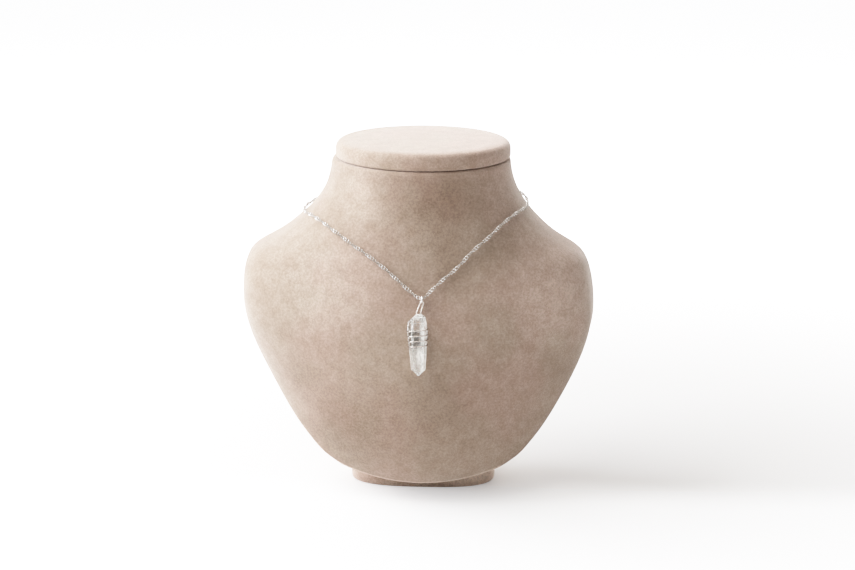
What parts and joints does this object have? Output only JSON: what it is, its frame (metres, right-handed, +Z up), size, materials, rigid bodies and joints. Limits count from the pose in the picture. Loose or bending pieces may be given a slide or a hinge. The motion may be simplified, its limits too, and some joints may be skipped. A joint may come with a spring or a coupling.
{
  "type": "quartz pendant necklace on a neck bust",
  "caption": "Wire-wrapped quartz crystal point on a fine chain necklace, worn by a velvet neck bust; its ring swings forward and the pendant sways.",
  "frame": {"origin": "centre of the flat underside of the bust's foot", "axes": "+Z up, the chest and the pendant face -Y, +X to the right as seen from the front"},
  "size_m": [0.2022, 0.1207, 0.2],
  "materials": {
    "velvet": "beige short-pile velvet with a soft mottled nap",
    "silver": "polished silver",
    "quartz": "natural quartz, clear at the top and milky below"
  },
  "bodies": {
    "root": {"neck_bust": "velvet", "bust_cap": "velvet", "bust_foot": "velvet", "chain": "silver", "clasp": "silver"},
    "ring": {"jump_ring": "silver"},
    "pendant": {"wire_wrap": "silver", "quartz_point": "quartz"}
  },
  "joints": [
    {"name": "ring_swing", "type": "hinge", "parent": "root", "child": "ring", "pos_m": [0.003, -0.0595, 0.125], "axis": [-1, 0, 0], "range_deg": [0, 60]},
    {"name": "pendant_sway", "type": "hinge", "parent": "ring", "child": "pendant", "pos_m": [0.003, -0.05989, 0.12253], "axis": [0, 0.9877, -0.1564], "range_deg": [-25, 25]}
  ]
}
